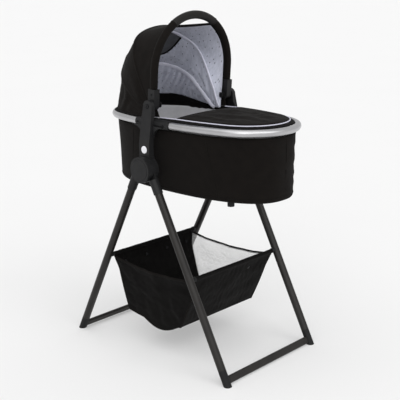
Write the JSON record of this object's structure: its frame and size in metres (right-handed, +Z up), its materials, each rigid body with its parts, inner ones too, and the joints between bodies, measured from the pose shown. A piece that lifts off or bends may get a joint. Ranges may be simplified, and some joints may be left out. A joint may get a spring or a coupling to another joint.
{
  "type": "bassinet on stand",
  "caption": "Oval carrycot bassinet with arched handle, folding hood and apron, clipped on a folding A-frame stand with a hanging fabric basket.",
  "frame": {"origin": "on the floor, at the middle of the object's length and width", "axes": "+Z up, +X towards the foot end, -X towards the hood end, +Y to the left when facing the foot end"},
  "size_m": [0.9274, 0.5712, 1.3424],
  "materials": {
    "frame_tube": "satin anthracite powder coat",
    "moulded_plastic": "fine texture",
    "foot_rubber": "matt",
    "steel_pin": "black finish",
    "black_fabric": "plain weave",
    "mesh_fabric": "open net",
    "rim_aluminium": "satin anodised",
    "lining_fabric": "printed jersey",
    "grip_leather": "imitation leather",
    "white_button": "gloss",
    "bow_strip": "moulded"
  },
  "bodies": {
    "root": {"foot_leg_near": "frame_tube", "foot_leg_far": "frame_tube", "foot_crossbar": "frame_tube", "foot_corner_caps": "moulded_plastic", "foot_floor_pads": "foot_rubber", "inner_hub_near": "moulded_plastic", "inner_hub_far": "moulded_plastic", "foot_basket_rod": "frame_tube", "foot_rod_brackets": "moulded_plastic", "basket_foot_panel": "black_fabric", "basket_floor": "black_fabric", "basket_sides": "mesh_fabric", "foot_poppers": "steel_pin"},
    "head_frame": {"head_leg_near": "frame_tube", "head_leg_far": "frame_tube", "head_crossbar": "frame_tube", "head_corner_caps": "moulded_plastic", "head_floor_pads": "foot_rubber", "outer_hub_near": "moulded_plastic", "outer_hub_far": "moulded_plastic", "hub_pins": "steel_pin", "head_basket_rod": "frame_tube", "head_rod_brackets": "moulded_plastic", "basket_head_panel": "black_fabric", "head_poppers": "steel_pin"},
    "carrycot": {"rim_tube": "rim_aluminium", "tub_wall": "black_fabric", "base_board": "moulded_plastic", "base_feet": "moulded_plastic", "liner": "lining_fabric", "mattress": "lining_fabric", "apron": "black_fabric", "adaptor_near": "moulded_plastic", "adaptor_far": "moulded_plastic", "rim_rivets": "steel_pin", "hood_pins": "steel_pin"},
    "lower_bow_body": {"lower_bow": "bow_strip", "hood_rear_panel": "black_fabric"},
    "upper_bow_body": {"upper_bow": "bow_strip", "hood_middle_panel": "black_fabric"},
    "handle": {"handle_tube": "rim_aluminium", "handle_grip": "grip_leather", "handle_block_near": "moulded_plastic", "handle_block_far": "moulded_plastic", "hood_front_panel": "black_fabric"},
    "release_near": {"release_button_near": "white_button"},
    "release_far": {"release_button_far": "white_button"},
    "fold_near": {"fold_button_near": "moulded_plastic"},
    "fold_far": {"fold_button_far": "moulded_plastic"}
  },
  "joints": [
    {"name": "stand_fold", "type": "hinge", "parent": "root", "child": "head_frame", "pos_m": [-0.028, 0, 0.764], "axis": [0, -1, 0], "range_deg": [0, 54], "deforming": ["basket_head_panel", "basket_foot_panel", "basket_floor", "basket_sides"]},
    {"name": "carrycot_lift", "type": "slide", "parent": "root", "child": "carrycot", "axis": [0, 0, 1], "range_m": [0, 0.12]},
    {"name": "lower_bow_fold", "type": "hinge", "parent": "carrycot", "child": "lower_bow_body", "pos_m": [-0.028, 0, 1], "axis": [0, -1, 0], "range_deg": [0, 27], "deforming": ["hood_rear_panel"]},
    {"name": "upper_bow_fold", "type": "hinge", "parent": "lower_bow_body", "child": "upper_bow_body", "pos_m": [-0.028, 0, 1], "axis": [0, -1, 0], "range_deg": [0, 27], "deforming": ["hood_middle_panel"]},
    {"name": "handle_fold", "type": "hinge", "parent": "upper_bow_body", "child": "handle", "pos_m": [-0.028, 0, 1], "axis": [0, -1, 0], "range_deg": [0, 27], "deforming": ["hood_front_panel"]},
    {"name": "release_press_near", "type": "slide", "parent": "carrycot", "child": "release_near", "axis": [0, 1, 0], "range_m": [0, 0.004], "stiffness_N_per_m": 600, "springref_m": -0.001},
    {"name": "release_press_far", "type": "slide", "parent": "carrycot", "child": "release_far", "axis": [0, -1, 0], "range_m": [0, 0.004], "stiffness_N_per_m": 600, "springref_m": -0.001},
    {"name": "fold_press_near", "type": "slide", "parent": "head_frame", "child": "fold_near", "axis": [0, 1, 0], "range_m": [0, 0.004], "stiffness_N_per_m": 900, "springref_m": -0.001},
    {"name": "fold_press_far", "type": "slide", "parent": "head_frame", "child": "fold_far", "axis": [0, -1, 0], "range_m": [0, 0.004], "stiffness_N_per_m": 900, "springref_m": -0.001}
  ],
  "couplings": [
    {"joint": "lower_bow_fold", "follows": "handle_fold", "ratio": 1},
    {"joint": "upper_bow_fold", "follows": "handle_fold", "ratio": 1}
  ]
}
